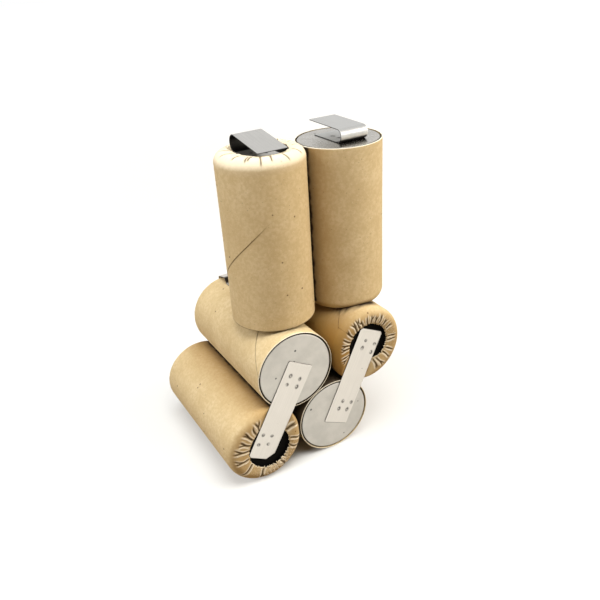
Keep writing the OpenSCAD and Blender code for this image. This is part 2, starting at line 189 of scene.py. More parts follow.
class Nodes:
    """Nodes of a material or of the world. Inputs are numbers, vectors, colours or outputs of other nodes."""

    def __init__(self, owner):
        owner.use_nodes = True
        self.owner = owner
        self.tree = owner.node_tree

    def put(self, node, inputs):
        for key, value in inputs.items():
            socket = node.inputs[key]
            if isinstance(value, bpy.types.NodeSocket):
                self.tree.links.new(value, socket)
            elif socket.type == "RGBA":
                socket.default_value = (*value, 1.0)
            else:
                socket.default_value = value

    def add(self, kind, inputs, **settings):
        node = self.tree.nodes.new(kind)
        for key, value in settings.items():
            setattr(node, key, value)
        self.put(node, inputs)
        return node

    def surface(self, **inputs):
        """Inputs of the shader, with _ for each space in their names."""
        shader = self.tree.nodes["Principled BSDF"]
        self.put(shader, {key.replace("_", " "): value for key, value in inputs.items()})

    def place(self):
        """Position on the object, in millimetres."""
        return self.scaled(self.add("ShaderNodeTexCoord", {}).outputs["Object"], (1 / MM,) * 3)

    def attribute(self, name, kind="Fac"):
        return self.add("ShaderNodeAttribute", {}, attribute_name=name).outputs[kind]

    def vector(self, operation, a, b=(0, 0, 0)):
        return self.add("ShaderNodeVectorMath", {0: a, 1: b}, operation=operation).outputs

    def scaled(self, vector, by):
        return self.vector("MULTIPLY", vector, by)[0]

    def distance(self, vector, point, axes):
        """Distance from a point, measured along the given axes alone."""
        apart = self.vector("SUBTRACT", vector, point)[0]
        return self.vector("LENGTH", self.scaled(apart, axes))["Value"]

    def fade(self, value, low, high):
        """0 where the value is under low, 1 where it is over high."""
        inputs = {"Value": value, "From Min": low, "From Max": high}
        return self.add("ShaderNodeMapRange", inputs).outputs[0]

    def spread(self, value, low, high):
        """low where the value is 0, high where it is 1."""
        return self.add("ShaderNodeMapRange", {"Value": value, "To Min": low, "To Max": high}).outputs[0]

    def noise(self, vector, per_mm, detail=3.0, rough=0.55):
        inputs = {"Vector": vector, "Scale": per_mm, "Detail": detail, "Roughness": rough}
        return self.add("ShaderNodeTexNoise", inputs).outputs["Fac"]

    def specks(self, vector, per_mm, spot, chosen):
        """Spots at some points of a scatter: ramps over the distance from a point and its random number."""
        cells = self.add("ShaderNodeTexVoronoi", {"Vector": vector, "Scale": per_mm}).outputs
        spots = self.ramp(cells["Distance"], spot)
        return self.mix(1.0, spots, self.ramp(cells["Color"], chosen), "MULTIPLY")

    def ramp(self, value, stops):
        """Colour ramp; stops are (position, colour or grey level)."""
        node = self.add("ShaderNodeValToRGB", {"Fac": value})
        band = node.color_ramp
        while len(band.elements) < len(stops):
            band.elements.new(0.5)
        for element, (at, level) in zip(band.elements, stops):
            element.position = at
            colour = (level,) * 3 if isinstance(level, float) else level
            element.color = (*colour, 1.0)
        return node.outputs["Color"]

    def math(self, operation, a, b):
        return self.add("ShaderNodeMath", {0: a, 1: b}, operation=operation).outputs[0]

    def mix(self, factor, a, b, how="MIX"):
        inputs = {0: factor, 6: a, 7: b}
        return self.add("ShaderNodeMix", inputs, data_type="RGBA", blend_type=how).outputs[2]

    def bump(self, height, strength, distance, **under):
        inputs = {"Height": height, "Strength": strength, "Distance": distance, **under}
        return self.add("ShaderNodeBump", inputs).outputs["Normal"]


def new_material(name):
    return Nodes(bpy.data.materials.new(name))


PAPER_LIGHT = (0.68, 0.54, 0.32)
PAPER_MID = (0.62, 0.48, 0.265)
PAPER_DARK = (0.54, 0.4, 0.205)
# Painted brown shade beside other cells and on the crowns
PAPER_SHADE = (0.3, 0.16, 0.035)
PAPER_SPECK = (0.12, 0.065, 0.03)
PAPER_FIBRE = (0.8, 0.67, 0.45)
# Pale cut edges, and painted highlights on the sides of creases, on torn flecks and on a crown
PAPER_EDGE_AND_HIGHLIGHT = (0.88, 0.81, 0.66)
# Painted shade in folds, at the seam, at contacts and inside the sleeves
PAPER_FOLD_SHADE = (0.035, 0.022, 0.012)
STRIP_PIT = (0.12, 0.11, 0.1)
# Painted shade on the edges of the strips
STRIP_EDGE_SHADE = (0.03, 0.029, 0.028)
# Dark rings at the welds, and painted shade in bands on links and tabs
WELD_BURN_AND_SHADE = (0.02, 0.018, 0.016)
STEEL_PIT = (0.1, 0.095, 0.09)
# Painted shade at the rims of the cans and caps
STEEL_RIM_SHADE = (0.012, 0.011, 0.01)

# Painted shade as black lines along the contacts of these lying cells and of the standing ones: gaps at which
# a line starts to fade and ends, how uneven it is, and the height over which the upright one starts
TOUCHING = ((2, 3), (2, 4), (3, 4), (4, 5))
CONTACT_LINE = (0.75, 1.15)
CONTACT_WAVER = 0.9
UPRIGHT_START = 0.5


def off_axis(n, place, i):
    """Distance from the axis of cell i."""
    centre, turn, _, _ = CELLS[i]
    lying = abs(turn) == 90
    return n.distance(place, centre, (1, 0, 1) if lying else (1, 1, 0))


def contact_gap(n, place):
    """Gap beside the nearest contact of two parallel cells, slightly uneven."""
    off = {i: off_axis(n, place, i) for i in CELLS}
    height = n.distance(place, (0, 0, 0), (0, 0, 1))
    below = n.fade(height, UPRIGHT_Z + UPRIGHT_START, UPRIGHT_Z)
    nearest = n.math("ADD", n.math("MAXIMUM", off[1], off[6]), n.math("MULTIPLY", below, CELL_D))
    for i, j in TOUCHING:
        nearest = n.math("MINIMUM", nearest, n.math("MAXIMUM", off[i], off[j]))
    uneven = n.math("MULTIPLY", n.math("SUBTRACT", n.noise(place, 0.4), 0.5), CONTACT_WAVER)
    return n.math("ADD", n.math("SUBTRACT", nearest, SLEEVE_R), uneven)


def paper_material():
    """Kraft paper: clouded tan, short fibres, fine and coarse specks and pale cut edges, with painted shade
    in folds, at the seam, at contacts and inside, painted brown shade and painted highlights.
    """
    n = new_material("kraft_paper")
    place = n.place()
    clouds = n.noise(place, 0.16, 4.0)
    colour = n.ramp(clouds, [(0.3, PAPER_DARK), (0.5, PAPER_MID), (0.72, PAPER_LIGHT)])
    grain = n.noise(place, 2.6, 4.0, 0.7)
    colour = n.mix(n.ramp(grain, [(0.38, 0.0), (0.66, 0.55)]), colour, PAPER_LIGHT)
    mottle = n.noise(place, 1.1, 3.0, 0.6)
    colour = n.mix(n.ramp(mottle, [(0.42, 0.55), (0.58, 0.0)]), colour, PAPER_DARK)
    fibre_a = n.noise(n.scaled(place, (0.5, 3.2, 1.1)), 1.3, 2.0, 0.8)
    fibre_b = n.noise(n.scaled(place, (2.4, 0.6, 2.9)), 1.1, 2.0, 0.8)
    fibres = n.math("MAXIMUM", fibre_a, fibre_b)
    colour = n.mix(n.ramp(fibres, [(0.62, 0.0), (0.74, 0.35)]), colour, PAPER_FIBRE)
    fine = n.specks(place, 0.9, [(0.06, 0.5), (0.14, 0.0)], [(0.55, 0.0), (0.7, 1.0)])
    colour = n.mix(fine, colour, PAPER_SPECK)
    coarse = n.specks(place, 0.27, [(0.05, 0.85), (0.09, 0.0)], [(0.4, 0.0), (0.5, 1.0)])
    colour = n.mix(coarse, colour, PAPER_SPECK)
    # Painted brown shade, painted black shade in folds and along contacts, then pale cut edges and painted
    # highlights
    colour = n.mix(n.attribute("shade"), colour, PAPER_SHADE)
    colour = n.mix(n.attribute("fold"), colour, PAPER_FOLD_SHADE)
    colour = n.mix(n.fade(contact_gap(n, place), *reversed(CONTACT_LINE)), colour, PAPER_FOLD_SHADE)
    colour = n.mix(n.attribute("edge"), colour, PAPER_EDGE_AND_HIGHLIGHT)
    soft = n.bump(clouds, 0.25, 0.0004)
    normal = n.bump(n.mix(0.5, grain, fibres), 0.3, 0.00008, Normal=soft)
    rough = n.spread(grain, 0.78, 0.95)
    n.surface(Base_Color=colour, Roughness=rough, Specular_IOR_Level=0.25, Normal=normal)
    return n.owner


def strip_material(name, light, dark, streaks):
    """Rolled nickel: streaks along the strip, small pits, dark rings at the welds, painted shade in bands and
    on the edges.
    """
    n = new_material(name)
    along = n.attribute("along", "Vector")
    streak = n.noise(n.scaled(along, (0.06, 5.0, 1.0)), 1.0, 4.0, 0.65)
    cloud = n.noise(along, 0.35, 3.0)
    colour = n.ramp(streak, [(0.35, dark), (0.65, light)])
    colour = n.mix(n.ramp(cloud, [(0.35, 0.0), (0.75, 0.35)]), colour, dark)
    pits = n.specks(along, 0.45, [(0.05, 0.8), (0.1, 0.0)], [(0.6, 0.0), (0.68, 1.0)])
    colour = n.mix(pits, colour, STRIP_PIT)
    colour = n.mix(n.attribute("welds_and_shade"), colour, WELD_BURN_AND_SHADE)
    colour = n.mix(n.attribute("edge"), colour, STRIP_EDGE_SHADE)
    fine = n.bump(streak, streaks, 0.00004)
    normal = n.bump(cloud, 0.15, 0.0003, Normal=fine)
    n.surface(Base_Color=colour, Metallic=1.0, Roughness=n.spread(streak, 0.3, 0.46), Normal=normal)
    return n.owner


def plated_material(name, light, dark, low, high, cell=None, rim=None):
    """Nickel-plated steel with clouds, pits and faint scratches, as rough as low to high. It turns dark with
    painted shade between the two distances from the axis of the cell in rim."""
    n = new_material(name)
    place = n.place()
    cloud = n.noise(place, 0.25, 4.0)
    colour = n.ramp(cloud, [(0.35, dark), (0.65, light)])
    pits = n.specks(place, 0.33, [(0.085, 0.95), (0.13, 0.0)], [(0.45, 0.0), (0.55, 1.0)])
    colour = n.mix(pits, colour, STEEL_PIT)
    if rim is not None:
        colour = n.mix(n.fade(off_axis(n, place, cell), *rim), colour, STEEL_RIM_SHADE)
    fine = n.noise(place, 3.5, 3.0)
    scratch = n.noise(n.scaled(place, (0.3, 6.0, 6.0)), 0.9, 2.0)
    normal = n.bump(n.mix(0.5, fine, scratch), 0.1, 0.00005)
    n.surface(Base_Color=colour, Metallic=1.0, Roughness=n.spread(fine, low, high), Normal=normal)
    return n.owner


def matt_material(name, light, dark, per_mm, roughness, metallic=0.0, gloss=0.5):
    """Matt or sintered material: two tones of grain with a fine bump."""
    n = new_material(name)
    place = n.place()
    grain = n.noise(place, per_mm, 4.0, 0.65)
    n.surface(Base_Color=n.ramp(grain, [(0.3, dark), (0.7, light)]), Metallic=metallic,
              Roughness=n.spread(grain, roughness - 0.08, min(1.0, roughness + 0.08)),
              Specular_IOR_Level=gloss, Normal=n.bump(grain, 0.35, 0.0001))
    return n.owner


# Painted shade: dark rims of the cans, in the gap to the paper, and of the caps, beside the strips
CAN_RIM = (SLEEVE_R - 0.8, SLEEVE_R - 0.62)
CAP_RIM = (3.1, 3.4)

# Looks of the plated steel: light and dark tone, least and greatest roughness
CAN_TONES = ((0.52, 0.49, 0.44), (0.455, 0.428, 0.385))
SATIN_CAN = (*CAN_TONES, 0.38, 0.55)
SHINY_CAN = ((0.49, 0.465, 0.42), (0.41, 0.39, 0.35), 0.2, 0.32)
CAP_LOOK = ((0.6, 0.58, 0.55), (0.5, 0.485, 0.46), 0.3, 0.45)
CAN_LOOKS = {**dict.fromkeys(CELLS, SATIN_CAN), 6: SHINY_CAN}

PAPER = paper_material()
LINK_NICKEL = strip_material("nickel_link", (0.67, 0.625, 0.565), (0.6, 0.56, 0.505), 0.2)
DULL_NICKEL = strip_material("nickel_dull", (0.61, 0.595, 0.565), (0.5, 0.49, 0.465), 0.5)
BRIGHT_NICKEL = strip_material("nickel_bright", (0.59, 0.585, 0.558), (0.495, 0.49, 0.474), 0.4)
PLAIN_NICKEL = plated_material("nickel_sheet", (0.8, 0.79, 0.77), (0.68, 0.67, 0.65), 0.28, 0.42)
SPRING_STEEL = matt_material("spring_wire", (0.62, 0.61, 0.6), (0.45, 0.44, 0.43), 4.0, 0.35, 1.0)

# Materials of the CAD nodes, by the ends of their names
NODE_MATERIALS = {
    **{f"cell_{i}_can": plated_material(f"can_steel_{i}", *CAN_LOOKS[i], i, CAN_RIM) for i in CELLS},
    **{f"cell_{i}_cap": plated_material(f"cap_steel_{i}", *CAP_LOOK, i, CAP_RIM) for i in CELLS},
    "lid": plated_material("lid_steel", *CAN_TONES, 0.34, 0.5),
    "gasket": matt_material("nylon", (0.02, 0.02, 0.022), (0.01, 0.01, 0.011), 2.0, 0.5, gloss=0.2),
    "vent_valve": matt_material("vent_rubber", (0.022, 0.022, 0.022), (0.01, 0.01, 0.01), 3.0, 0.8),
    "vent_springs": SPRING_STEEL,
    # The washers are black insulating rings, made near black also as painted shade of the recess round the
    # cap
    "washers": matt_material("washer_fibre", (0.008, 0.007, 0.006), (0.003,) * 3, 3.0, 0.9, gloss=0.05),
    "positive_plates": matt_material("positive_plate", (0.12, 0.14, 0.13), (0.07, 0.08, 0.075), 2.5, 0.85),
    "negative_plates": matt_material("negative_plate", (0.32, 0.34, 0.36), (0.22, 0.235, 0.25), 2.5, 0.8),
    "separators": matt_material("separator", (0.9, 0.89, 0.84), (0.78, 0.77, 0.72), 3.0, 0.9),
    "collectors": PLAIN_NICKEL,
    "collector_leads": PLAIN_NICKEL,
    "winding_insulators": matt_material("insulator", (0.86, 0.85, 0.81), (0.75, 0.74, 0.7), 1.5, 0.6),
}
for node_name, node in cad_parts.items():
    for ending, material in NODE_MATERIALS.items():
        if node_name.endswith(ending):
            node.data.materials.clear()
            node.data.materials.append(material)


# Paper sleeves
# Each sleeve is a spiral-wound tube. The columns of its mesh follow the seam, which climbs SEAM_RISE mm per
# degree, so that the overlap is a clean step. Over the positive end the paper is gathered in creases round
# an opening, on CROWN_SPLIT columns for each column of the tube.
TUBE_COLUMNS = 150
TUBE_RINGS = 32
CROWN_SPLIT = 3
ARC_RINGS = 14
FLAT_RINGS = 12
INSIDE_STEP = 3
FLAT_R = SLEEVE_R - SHOULDER_R

# Noises: seed, to which the number of the cell is added, waves round the cell and size
DENT_NOISE = (70, (2, 3, 5), 0.03)
EDGE_NOISE = (110, (9, 14, 23), 0.2)
FRAY_NOISE = (130, (31, 47, 61, 83), 1.0)
FLECK_NOISE = (150, (37, 53, 71), 1.0)
CREASE_SEED = 40

# Seam: its rise, its step and how that levels out, its dark line of painted shade, its fades, and the columns
# beside it
SEAM_RISE = 0.185
SEAM_STEP = 0.1
SEAM_DECAY = 16.0
SEAM_DARK = 0.75
SEAM_LINE = 0.12
SEAM_UNDER = 0.4
SEAM_FADE = (4.0, 6.0)
SEAM_COLUMNS = (0.3, 359.85)

# Tube: its dents, and the rings of its cut edge: height, inset and share of the cut
DENT = 0.02
DENT_TURN = 3
CUT_RINGS = ((0.0, 0.1, 1.0), (0.03, 0.03, 0.8), (0.1, 0.0, 0.3), (0.3, 0.0, 0.0))
CUT_SPREAD = 0.3
TUBE_START = 0.8

# Torn edge: angles over which it fades, and its flecks of painted light and shade
FRAY_SPREAD = 55
FLECK_SPREAD = 45
FLECK_TURN = 23
FLECK_REACH = (2.0, 3.5)
FLECK_EDGE = (0.15, 0.4)

# Creases, with painted shade in them and painted highlights on their lips; CREASE_START, CREASE_END and
# CREASE_PARTS are shares of the length, and LIP_AT and LIP_WIDTH are in half widths of the crease
CREASE_DEPTHS = (0.7, 1.2)
CREASE_FORKS = (0.0, 1.0, 1.6)
CREASE_START = (-0.1, 0.08)
CREASE_END = (0.7, 1.0)
CREASE_PARTS = (0.35, 1.0)
CREASE_WINDING = 0.2
CREASE_WAVES = 5
CREASE_DARK = 0.95
LIP_AT = 1.9
LIP_WIDTH = 0.75
LIP_HEIGHT = 0.05
CROWN_CURVE = 1.6

# Channels that the strips press into the crown, and how the paper rises behind a strip and beyond a tab
STRIP_PRESS = 0.04
PRESS_BESIDE = 0.15
PRESS_SLOPE = 40.0
PRESS_ROUND = 0.5
PRESS_CLEAR = 0.03
RISE_BEHIND = 6.0
BEHIND_STRIP = (0.0, 2.5)
RISE_BEYOND = 4.0
BEYOND_TAB = (7.9, 9.6)

# Cut edge of the opening, and thickness, clearance and painted shade of the inside
EDGE_T = 0.45
EDGE_CORNER = 0.3
EDGE_BULGE = 0.05
EDGE_FOOT = 0.03
EDGE_LIGHT = 0.5
EDGE_DARK = 0.6
WASHER_CLEAR = 0.005
FLAT_T = 0.35
FLAT_DARK = 0.8
SHOULDER_T = 0.12
SHOULDER_DARK = 0.5
THINNEST = 0.02
TUBE_T = 0.06
CAN_CLEAR = 0.015
FOOT_T = 0.2
FOOT_Z = 0.05

# Painted shade beside other cells (depth and reach), paler and wider between the standing ones, and in the
# pockets of three lying cells; the last three are heights over the tube for the pockets, the crown's painted
# shade and its painted highlight
CONTACT_SHADE = (0.97, 0.5)
STANDING_SHADE = (0.45, 1.7)
POCKETS = ((2, 3, 4), (2, 4, 5))
POCKET_SHADE = 0.97
POCKET_EDGE = (-0.02, 0.06)
POCKET_TOP = (-0.5, 0.8)
CROWN_SHADE_FADE = (1.0, SHOULDER_R)
HIGHLIGHT_FADE = (-0.6, 1.6)

# Painted brown shade on a cell's paper beside another cell: its depth and its reach
SHADED_BESIDE = {
    (1, 6): (0.2, 13.0), (3, 2): (0.7, 8.0), (5, 1): (1.0, 9.0), (5, 2): (1.0, 12.0), (6, 1): (0.65, 5.0),
}

# Looks of the sleeves
# seam: its angle at the negative face; seam_ends: heights between which it shows
# rim: how dark the cut edge at the negative face is, as painted shade; it is pale where rim is 0
# opening: shift of the opening's middle; torn: angle of its roughest edge; fray: roughness there, elsewhere
# creases: their angles; start: their distances from the opening; length: shortest and longest
# fork: how far their ends part; half and depth: of a crease; bend: how crooked it is, in degrees
# lip: how light its sides are, a painted highlight; crown_shade and crown_highlight: how brown and how pale
# the crown is, as painted shade and painted highlight
# fleck: how rough the paper is near the torn edge, as flecks of painted light and shade
USUAL_LOOK = {
    "rim": 0.0, "opening": (0.0, 0.0), "fray": (0.3, 0.15), "start": (0.0, 0.4), "fork": 0.2, "half": 0.18,
    "depth": 0.2, "bend": 5.0, "lip": 0.4, "crown_shade": 0.1, "crown_highlight": 0.0, "fleck": 0.0,
}
SLEEVES = {
    1: {"seam": 89.2, "seam_ends": (6, 30), "rim": 0.95, "opening": (0.8, -0.3), "torn": 90,
        "fray": (0.15, 0.1), "creases": (-158, -137, -131, -115, -99, -78, -47, -20, 4, 30, 152, 175),
        "start": (0.9, 1.5), "length": (3.4, 4.4), "fork": 0.0, "half": 0.25, "depth": 0.12, "bend": 2.0,
        "lip": 0.0, "crown_shade": 0.0, "crown_highlight": 0.5},
    2: {"seam": -169.9, "seam_ends": (-4, 16), "torn": 100,
        "creases": (-21, -4, 14, 33, 51, 70, 92, 110, 128, 149, 166, -172), "length": (2.2, 3.6)},
    3: {"seam": -60.0, "seam_ends": (-4, 14), "opening": (0.9, -1.0), "torn": -70,
        "fray": (0.7, 0.12), "creases": (170, 152, 133, 118, 101, -163, -139, -104, -62, -21, -5, 18),
        "length": (4.0, 5.8), "fork": 0.45, "half": 0.29, "depth": 0.25, "bend": 8.0, "lip": 0.75,
        "crown_shade": 0.5, "fleck": 0.9},
    4: {"seam": 20.0, "seam_ends": (4, 40), "opening": (-0.4, 0.3), "torn": 30,
        "fray": (0.35, 0.15), "creases": (-132, -110, -92, -70, -51, -33, -15, 6, 24, 47, 66, 88, 109, 130),
        "length": (2.2, 3.8), "fork": 0.3, "bend": 6.0},
    5: {"seam": -90.0, "seam_ends": (28, 60), "opening": (0.0, 0.6), "torn": 20,
        "fray": (0.45, 0.3), "creases": (93, 104, 113, 121, 138, 151, 160, 168, -175, -166, 82, 70, 60, 48,
                                         31, 7, -2, -24, -37, -59, -69),
        "length": (2.2, 3.6), "fork": 0.3, "half": 0.24, "bend": 4.0, "lip": 0.8, "crown_shade": 0.5, "fleck": 0.4},
    6: {"seam": 215.0, "seam_ends": (-4, 30), "torn": 90,
        "creases": (-30, -8, 12, 33, 51, 70, 90, 111, 133, 152, 172, -168), "length": (2.0, 3.4)},
}


def crease_list(look, rng):
    """Creases: angle, distance of the start from the opening, length, depth, lean and fork."""
    return [
        (angle,
         rng.uniform(*look["start"]),
         rng.uniform(*look["length"]),
         look["depth"] * rng.uniform(*CREASE_DEPTHS),
         look["bend"] * rng.uniform(-1, 1),
         look["fork"] * rng.choice(CREASE_FORKS))
        for angle in look["creases"]
    ]


def pressed_height(i, x, y):
    """Greatest height of the paper of cell i where a strip or another cell presses it down."""
    _, _, way, offset = CELLS[i]
    c, s = math.cos(math.radians(way)), math.sin(math.radians(way))
    along = x * c + y * s
    across = np.abs(-x * s + y * c - offset)
    beside = np.maximum(0.0, across - STRIP_W / 2 - PRESS_BESIDE)
    limit = CELL_H - STRIP_PRESS + beside * math.tan(math.radians(PRESS_SLOPE))
    limit += RISE_BEHIND * smoothstep(-along, *BEHIND_STRIP)
    if i == 1:
        limit += RISE_BEYOND * smoothstep(along, *BEYOND_TAB)
    if i == 6:
        from_axis = x + CELLS[6][0][0] - CELLS[5][0][0]
        top = UPPER_Z + np.sqrt(np.maximum(0.0, (SLEEVE_R + CELL_GAP) ** 2 - from_axis ** 2))
        limit = np.minimum(limit, CELLS[6][0][2] - top)
    return limit


def gap_to_cell(points, i):
    x, y, z = moved(points, cell_matrix(i).inverted()).T
    beside = np.maximum(0.0, np.hypot(x, y) - SLEEVE_R)
    beyond = np.maximum(0.0, np.maximum(-z, z - CROWN_Z))
    return np.hypot(beside, beyond)


def in_pocket(points, trio):
    """1 for points inside the triangle of the axes of three lying cells, 0 outside it."""
    axes = np.array([(CELLS[i][0][0], CELLS[i][0][2], 1) for i in trio]).T
    places = np.stack([points[:, 0], points[:, 2], np.ones(len(points))])
    return smoothstep(np.linalg.solve(axes, places).min(axis=0), *POCKET_EDGE)


def paper_shading(i, look, points):
    """How dark the sleeve of cell i is with painted shade beside other cells and in pockets, how brown with
    painted shade, and how pale with a painted highlight.
    """
    over_tube = moved(points, cell_matrix(i).inverted())[:, 2] - TUBE_TOP
    dark = np.zeros(len(points))
    # Painted brown shade on the crown, then beside other cells
    brown = look["crown_shade"] * smoothstep(over_tube, *CROWN_SHADE_FADE)
    for other in set(CELLS) - {i}:
        gap = gap_to_cell(points, other)
        shade, reach = STANDING_SHADE if {i, other} == {1, 6} else CONTACT_SHADE
        dark = np.maximum(dark, shade * np.exp(-gap / reach))
        brown_depth, spread = SHADED_BESIDE.get((i, other), (0.0, 1.0))
        brown = np.maximum(brown, brown_depth * np.exp(-(gap / spread) ** 2))
    on_tube = 1 - smoothstep(over_tube, *POCKET_TOP)
    for trio in POCKETS:
        if i in trio:
            dark = np.maximum(dark, POCKET_SHADE * on_tube * in_pocket(points, trio))
    # Painted highlight, pale over the crown's shoulder
    return dark, brown, look["crown_highlight"] * smoothstep(over_tube, *HIGHLIGHT_FADE)


def ring_faces(rings):
    """Faces between the rings of a closed skin, where a ring may have a multiple of the next one's points."""
    starts = np.cumsum([0, *(len(ring) for ring in rings)]).tolist()
    loops = [[*range(start, end), start] for start, end in zip(starts, starts[1:])]
    faces = []
    for low, high in zip(loops, loops[1:] + loops[:1]):
        steps = min(len(low), len(high)) - 1
        a, b = len(low) // steps, len(high) // steps
        for j in range(steps):
            faces.append(low[a * j:a * (j + 1) + 1] + high[b * j:b * (j + 1) + 1][::-1])
    return faces


def finer(values, closing):
    """Values at the crown's columns, from those of the tube and the one that closes the circle."""
    places = np.arange(TUBE_COLUMNS * CROWN_SPLIT) / CROWN_SPLIT
    return np.interp(places, np.arange(TUBE_COLUMNS + 1), np.append(values, closing))


class Sleeve:
    """Skin of a sleeve in its cell's frame: rings of points, their painted shade (folds) and their paleness
    of cut edges and painted highlights (edges).
    """

    def __init__(self, i):
        self.cell = i
        self.look = {**USUAL_LOOK, **SLEEVES[i]}
        self.creases = crease_list(self.look, random.Random(CREASE_SEED + i))
        self.rings = []
        self.folds = []
        self.edges = []
        seam_angle = self.look["seam"] + TUBE_TOP / SEAM_RISE
        past_seam = np.concatenate([[0.0], np.linspace(*SEAM_COLUMNS, TUBE_COLUMNS - 1)])
        self.columns = seam_angle + past_seam
        self.past_seam = np.radians(past_seam) * SLEEVE_R
        _, top_radius, _ = self.tube(TUBE_TOP)
        self.top_inset = SLEEVE_R - finer(top_radius, top_radius[0])
        self.around = finer(self.columns, seam_angle + 360)
        self.opening = self.opening_edge()

    def add(self, angle, radius, height, fold=0.0, edge=0.0):
        a = np.radians(angle)
        self.rings.append(np.stack([radius * np.cos(a), radius * np.sin(a), height + 0 * a], axis=1))
        self.folds.append(fold + 0 * a)
        self.edges.append(edge + 0 * a)

    def tube(self, height):
        """Angles, radii and painted shade at one height of the tube, with the seam's step and slight dents.
        """
        angle = self.columns - (TUBE_TOP - height) / SEAM_RISE
        low, high = self.look["seam_ends"]
        fade_in, fade_out = SEAM_FADE
        shows = between(height, (low, low + fade_in), (high - fade_out, high))
        under = self.past_seam == 0.0
        step = SEAM_STEP * shows * np.exp(-self.past_seam / SEAM_DECAY) * ~under
        dent = np.maximum(0.0, DENT + wave_noise(angle + DENT_TURN * height, self.cell, *DENT_NOISE))
        line = SEAM_DARK * shows * np.exp(-(self.past_seam / SEAM_LINE) ** 2)
        return angle, SLEEVE_R - step - dent, np.where(under, SEAM_UNDER * line, line)

    def near_tear(self, spread):
        return np.exp(-(angle_apart(self.around, self.look["torn"]) / spread) ** 2)

    def opening_edge(self):
        """Radius of the ragged opening at each column of the crown."""
        shift_x, shift_y = self.look["opening"]
        shift = math.hypot(shift_x, shift_y)
        turned = np.radians(self.around) - math.atan2(shift_y, shift_x)
        circle = shift * np.cos(turned) + np.sqrt(OPENING_R ** 2 - (shift * np.sin(turned)) ** 2)
        torn, elsewhere = self.look["fray"]
        fray = elsewhere + (torn - elsewhere) * self.near_tear(FRAY_SPREAD)
        waves = wave_noise(self.around, self.cell, *EDGE_NOISE)
        return circle + waves + fray * wave_noise(self.around, self.cell, *FRAY_NOISE)

    def gathers(self, radius):
        """Depth, painted shade and painted highlights of creases and torn paper; radius is along the surface.
        """
        look = self.look
        out = radius - self.opening
        rough = wave_noise(self.around + FLECK_TURN * radius, self.cell, *FLECK_NOISE)
        painted_shading = look["fleck"] * self.near_tear(FLECK_SPREAD) * (1 - smoothstep(out, *FLECK_REACH))
        dark = painted_shading * smoothstep(-rough, *FLECK_EDGE)
        light = painted_shading * smoothstep(rough, *FLECK_EDGE)
        drop = np.zeros_like(self.around)
        for angle, start, length, depth, lean, fork in self.creases:
            t = (out - start) / length
            ends = between(t, CREASE_START, CREASE_END)
            path = angle + lean * t + CREASE_WINDING * look["bend"] * np.sin(CREASE_WAVES * t + angle)
            gap = np.abs(np.radians(angle_apart(self.around, path)) * radius)
            gap = np.abs(gap - fork * smoothstep(t, *CREASE_PARTS)) / look["half"]
            line = ends * np.exp(-gap ** 2)
            lip = ends * np.exp(-((gap - LIP_AT) / LIP_WIDTH) ** 2)
            drop += depth * line - LIP_HEIGHT * lip
            dark = np.maximum(dark, line)
            light = np.maximum(light, look["lip"] * lip)
        return drop, dark, light

    def crown_ring(self, radius, height, tilt, along):
        """Radius, height, painted shade and painted highlight of a ring; along is its radius along the
        surface.
        """
        drop, dark, light = self.gathers(along)
        r = radius - (self.top_inset + drop) * math.cos(tilt)
        z = height - drop * math.sin(tilt)
        a = np.radians(self.around)
        pressed = soft_min(z, pressed_height(self.cell, r * np.cos(a), r * np.sin(a)), PRESS_ROUND)
        lowest = np.minimum(z, WASHER_TOP + PRESS_CLEAR)
        z = np.where(pressed < z, np.maximum(pressed, lowest), z)
        return r, z, CREASE_DARK * dark, light * (1 - dark)

    def crown(self):
        """Rings of the crown: a rounded shoulder, then a flat ring to the opening."""
        rings = []
        for tilt in np.linspace(0.0, math.pi / 2, ARC_RINGS + 1)[1:]:
            radius = FLAT_R + SHOULDER_R * math.cos(tilt)
            along = FLAT_R + SHOULDER_R * (math.pi / 2 - tilt)
            rings.append(self.crown_ring(radius, TUBE_TOP + SHOULDER_R * math.sin(tilt), tilt, along))
        for t in np.linspace(0.0, 1.0, FLAT_RINGS + 1)[1:]:
            radius = FLAT_R + (self.opening - FLAT_R) * t
            rings.append(self.crown_ring(radius, CROWN_Z - CROWN_DIP * t ** CROWN_CURVE, math.pi / 2, radius))
        return rings

    def add_outside(self):
        """Outside of the tube, from the cut edge at the negative face upwards."""
        rim = self.look["rim"]
        heights = np.linspace(TUBE_START, TUBE_TOP, TUBE_RINGS)
        for height, inset, cut in (*CUT_RINGS, *((height, 0.0, 0.0) for height in heights)):
            angle, radius, line = self.tube(height)
            # Painted shade of the seam line and of the cut edge; the cut edge is pale where rim is 0
            fold = np.maximum(line, rim * cut ** CUT_SPREAD)
            self.add(angle, radius - inset, height, fold, cut * (1 - rim))

